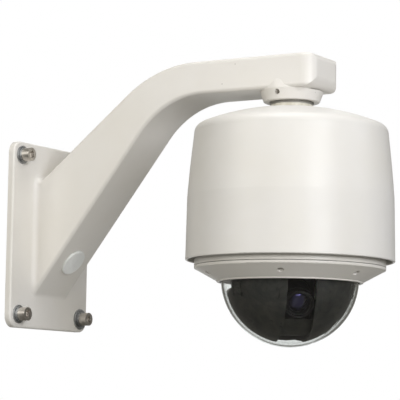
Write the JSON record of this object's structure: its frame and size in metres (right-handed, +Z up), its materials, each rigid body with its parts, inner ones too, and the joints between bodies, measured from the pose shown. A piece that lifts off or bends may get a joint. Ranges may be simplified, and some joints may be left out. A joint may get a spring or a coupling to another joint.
{
  "type": "pan tilt zoom dome camera",
  "caption": "Pendant dome camera on a hollow cast wall arm, with a clear bubble over a slotted liner that pans and a lens block that tilts behind it.",
  "frame": {"origin": "centre of the wall bolt pattern, on the wall plate's back face", "axes": "+X out from the wall along the arm, +Z up"},
  "size_m": [0.4639, 0.2368, 0.3294],
  "materials": {
    "cast_paint": "satin off-white powder coat",
    "shroud_paint": "satin off-white powder coat",
    "plug_plastic": "matte",
    "bolt_steel": "turned stainless",
    "washer_zinc": "dull zinc",
    "neck_alloy": "machined",
    "seal_rubber": "matte",
    "clear_dome": "clear polycarbonate",
    "liner_plastic": "fine matte black",
    "camera_plastic": "matte black",
    "lens_glass": "coated",
    "plain_steel": "zinc plated sheet",
    "bearing_chrome": "ground",
    "alloy": "machined",
    "gear_plastic": "natural acetal",
    "brass": "machined",
    "board": "solder mask",
    "black_parts": "moulded black"
  },
  "bodies": {
    "mount_and_housing": {"wall_arm": "cast_paint", "wall_bolts": "bolt_steel", "flat_washers": "washer_zinc", "lock_washers": "washer_zinc", "arm_cable_plug": "plug_plastic", "collar_set_screw": "bolt_steel", "threaded_neck": "neck_alloy", "neck_gasket": "seal_rubber", "neck_screws": "bolt_steel", "sun_shroud": "shroud_paint", "shroud_standoffs": "plain_steel", "shroud_screws": "bolt_steel", "inner_housing": "cast_paint", "trim_ring": "cast_paint", "trim_gasket": "seal_rubber", "trim_screws": "bolt_steel", "dome_bubble": "clear_dome", "bubble_gasket": "seal_rubber", "bubble_clamp_ring": "plain_steel", "chassis_plate": "plain_steel", "chassis_posts": "plain_steel", "chassis_screws": "bolt_steel", "main_board": "board", "board_components": "black_parts", "power_board": "board", "board_spacers": "black_parts", "terminal_block": "gear_plastic", "fan_frame": "black_parts", "fan_screws": "bolt_steel", "heater_block": "alloy", "pan_motor": "black_parts", "pan_motor_screws": "bolt_steel", "pan_bearing_outer": "bearing_chrome", "bearing_housing": "alloy", "slip_ring_body": "gear_plastic"},
    "pan_head": {"pan_bearing_inner": "bearing_chrome", "bearing_balls": "bearing_chrome", "pan_gear": "gear_plastic", "pan_hub": "alloy", "pan_hub_screws": "bolt_steel", "slip_ring_core": "gear_plastic", "pan_yoke": "plain_steel", "dome_liner": "liner_plastic", "liner_screws": "bolt_steel", "tilt_motor": "black_parts", "tilt_motor_screws": "bolt_steel", "tilt_bushes": "brass"},
    "tilt_cradle": {"camera_bracket": "liner_plastic", "trunnion_pins": "plain_steel", "tilt_gear": "gear_plastic", "camera_body": "camera_plastic", "lens_barrel": "camera_plastic", "lens_front_ring": "camera_plastic", "front_lens": "lens_glass", "sensor_board": "board"},
    "pan_pinion_shaft": {"pan_pinion": "brass"},
    "tilt_pinion_shaft": {"tilt_pinion": "brass"},
    "fan_wheel": {"fan_rotor": "black_parts"},
    "zoom_group": {"zoom_lens_group": "lens_glass"},
    "focus_group": {"focus_lens_group": "lens_glass"}
  },
  "joints": [
    {"name": "pan", "type": "hinge", "parent": "mount_and_housing", "child": "pan_head", "pos_m": [0.338, 0, -0.056], "axis": [0, 0, 1], "continuous": true},
    {"name": "tilt", "type": "hinge", "parent": "pan_head", "child": "tilt_cradle", "pos_m": [0.338, 0, -0.056], "axis": [0.7716, 0.6361, 0], "range_deg": [-30, 60]},
    {"name": "pan_motor_spin", "type": "hinge", "parent": "mount_and_housing", "child": "pan_pinion_shaft", "pos_m": [0.284, 0.00047, 0], "axis": [0, 0, 1], "continuous": true},
    {"name": "tilt_motor_spin", "type": "hinge", "parent": "pan_head", "child": "tilt_pinion_shaft", "pos_m": [0.338, 0, -0.0248], "axis": [0.7716, 0.6361, 0], "range_deg": [-200, 100]},
    {"name": "fan_spin", "type": "hinge", "parent": "mount_and_housing", "child": "fan_wheel", "pos_m": [0.338, 0.062, 0.0385], "axis": [0, 0, 1], "continuous": true},
    {"name": "zoom", "type": "slide", "parent": "tilt_cradle", "child": "zoom_group", "axis": [0.5509, -0.6682, -0.5], "range_m": [-0.012, 0.024]},
    {"name": "focus", "type": "slide", "parent": "tilt_cradle", "child": "focus_group", "axis": [0.5509, -0.6682, -0.5], "range_m": [-0.003, 0.005]}
  ],
  "couplings": [
    {"joint": "pan_motor_spin", "follows": "pan", "ratio": -5},
    {"joint": "tilt_motor_spin", "follows": "tilt", "ratio": -3.3333}
  ]
}
